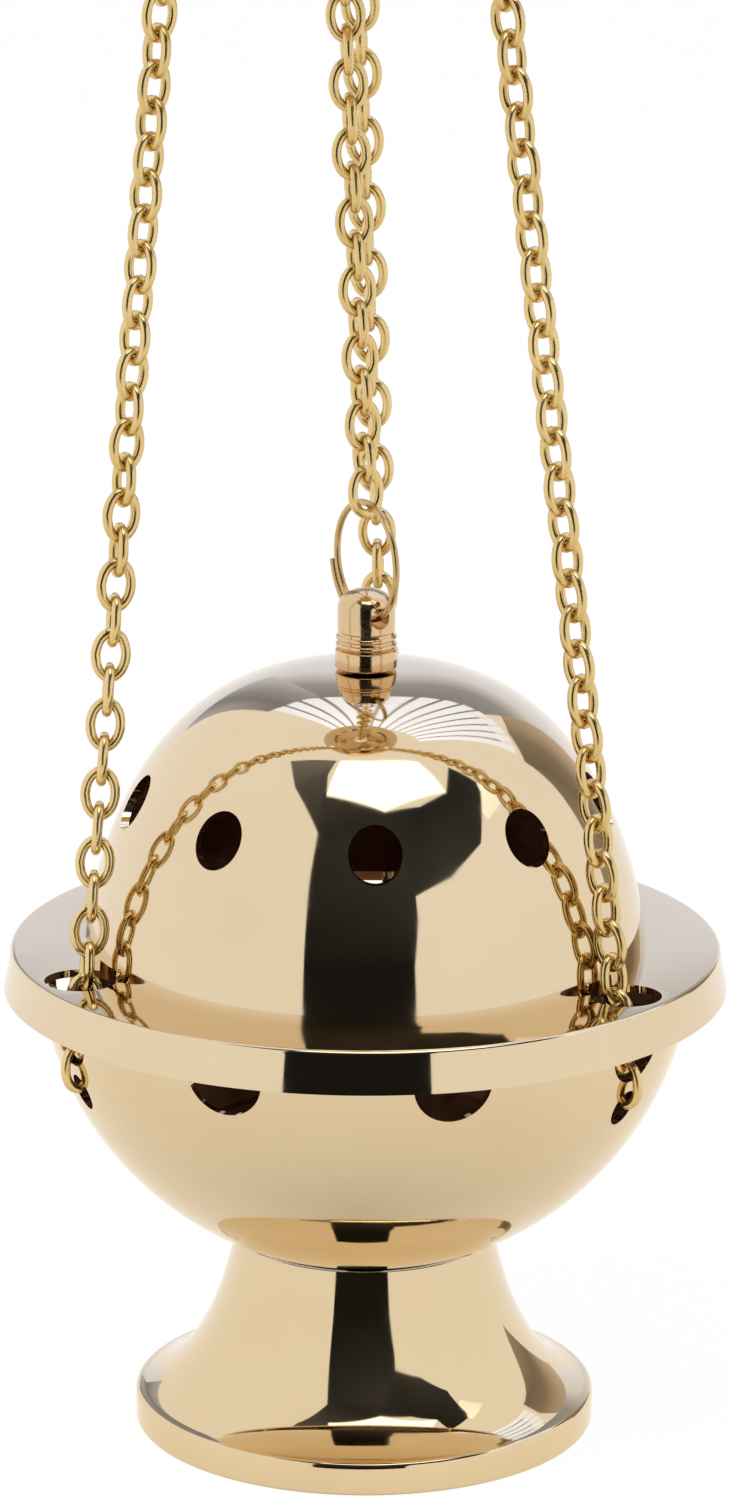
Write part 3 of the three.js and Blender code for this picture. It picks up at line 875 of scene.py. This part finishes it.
def make_bright_sheets(glow):
    above = [
        ((-34, 62, HIGHLIGHT), (-61, 80, HIGHLIGHT)),
        ((14, 56.5, HIGHLIGHT), (10, 84, HIGHLIGHT)),
        ((64, 55.5, HIGHLIGHT), (81, 72, HIGHLIGHT)),
    ]
    right = [
        ((74, 38, 1.3), (74, 45, 1.6)),
        ((92, 38, 1.3), (92, 50, 1.6)),
    ]
    sheet("bright_above", above, glow)
    sheet("bright_right", right, glow)


def make_sheets_behind(glow):
    columns = column_azimuths(BEHIND_FROM, -BEHIND_STEP, BEHIND_COLUMNS)
    bands = (("low", 2, 1.0, 16, 0.88), ("middle", 16, 0.88, 26, 0.42), ("high", 26, 0.42, 40, 0.3))
    for name, low, low_brightness, high, high_brightness in bands:
        rows = [((a, low, low_brightness), (a, high, high_brightness)) for a in columns]
        sheet(f"behind_{name}", rows, glow, COOL_TINT)
    columns = column_azimuths(BEHIND_FROM, -BEHIND_STEP, BEHIND_TOP_COLUMNS)
    sheet("behind_top", [((a, 40, 0.3), (a, 70, 0.4)) for a in columns], glow, COOL_TINT)


def make_sheets_below(glow):
    columns = column_azimuths(0, BELOW_STEP, BELOW_COLUMNS)
    sheet("below", [((a, -90, 0.66), (a, -68, 0.8)) for a in columns], glow, BELOW_TINT)
    sheet("below_side", [((a, -68, 0.8), (a, -18, 1.02)) for a in columns], glow, BELOW_TINT)


def make_sheets_beside(glow):
    left = [
        ((-153, 10, 0.6), (-153, 42, 0.3)),
        ((-160, 12, 0.3), (-160, 42, 0.25)),
        ((-172, 14, 0.75), (-172, 38, 0.45)),
    ]
    right = [
        ((152, 0, 0.7), (150, 30, 0.5)),
        ((138, -1, 0.25), (138, 34, 0.3)),
        ((124, -2, 0.4), (123, 32, 0.2)),
    ]
    sheet("behind_left", left, glow, COOL_TINT, LEFT_SHEET_REACH)
    sheet("behind_right", right, glow, WARM_TINT)


def make_slats(glow):
    low_brightness, high_brightness = SLAT_BRIGHTNESS
    for i in range(SLAT_COUNT):
        first = BEHIND_FROM - SLAT_STEP * i
        low = SLAT_LOW - SLAT_LOWER_EACH * i
        edges = (first, first - SLAT_WIDTH)
        rows = [((a, low, low_brightness), (a, SLAT_HIGH, high_brightness)) for a in edges]
        sheet(f"slat_{i + 1}", rows, glow, SLAT_TINT, SLAT_REACH)


def make_stage():
    make_floor()
    glow = sheet_material()
    make_dark_sheets(glow)
    make_bright_sheets(glow)
    make_sheets_behind(glow)
    make_sheets_below(glow)
    make_sheets_beside(glow)
    make_slats(glow)
    lamp("key", place=(-0.7, -0.5, 1.1), size=0.7, power=9)
    lamp("fill", place=(0.8, -0.6, 0.8), size=0.8, power=5)


def make_world():
    world = bpy.data.worlds.new("world")
    bpy.context.scene.world = world
    world.use_nodes = True
    nodes = world.node_tree.nodes
    links = world.node_tree.links
    nodes.clear()
    around = nodes.new("ShaderNodeBackground")
    around.inputs["Color"].default_value = (*AROUND_COLOUR, 1)
    around.inputs["Strength"].default_value = AROUND_STRENGTH
    white = nodes.new("ShaderNodeBackground")
    white.inputs["Color"].default_value = (1, 1, 1, 1)
    white.inputs["Strength"].default_value = 1.0
    mix = nodes.new("ShaderNodeMixShader")
    out = nodes.new("ShaderNodeOutputWorld")
    links.new(seen_directly(nodes, links), mix.inputs["Fac"])
    links.new(around.outputs[0], mix.inputs[1])
    links.new(white.outputs[0], mix.inputs[2])
    links.new(mix.outputs[0], out.inputs["Surface"])


def make_camera():
    data = bpy.data.cameras.new("camera")
    data.lens = CAMERA_LENS
    data.sensor_width = CAMERA_SENSOR
    camera = bpy.data.objects.new("camera", data)
    bpy.context.scene.collection.objects.link(camera)
    camera.location = CAMERA_PLACE
    level = Matrix.Rotation(math.radians(90 - CAMERA_PITCH), 4, "X")
    camera.rotation_euler = (level @ Matrix.Rotation(math.radians(CAMERA_ROLL), 4, "Z")).to_euler()
    bpy.context.scene.camera = camera


make_camera()
make_world()
make_stage()
make_foot()
make_bowl()
make_lid()
make_finial()
make_lid_ring()
make_lift_chain()
make_lift_ring()
make_bowl_chains()
make_hanger()
make_bail()
dress_cad_nodes()
bpy.context.scene.view_settings.view_transform = "Standard"
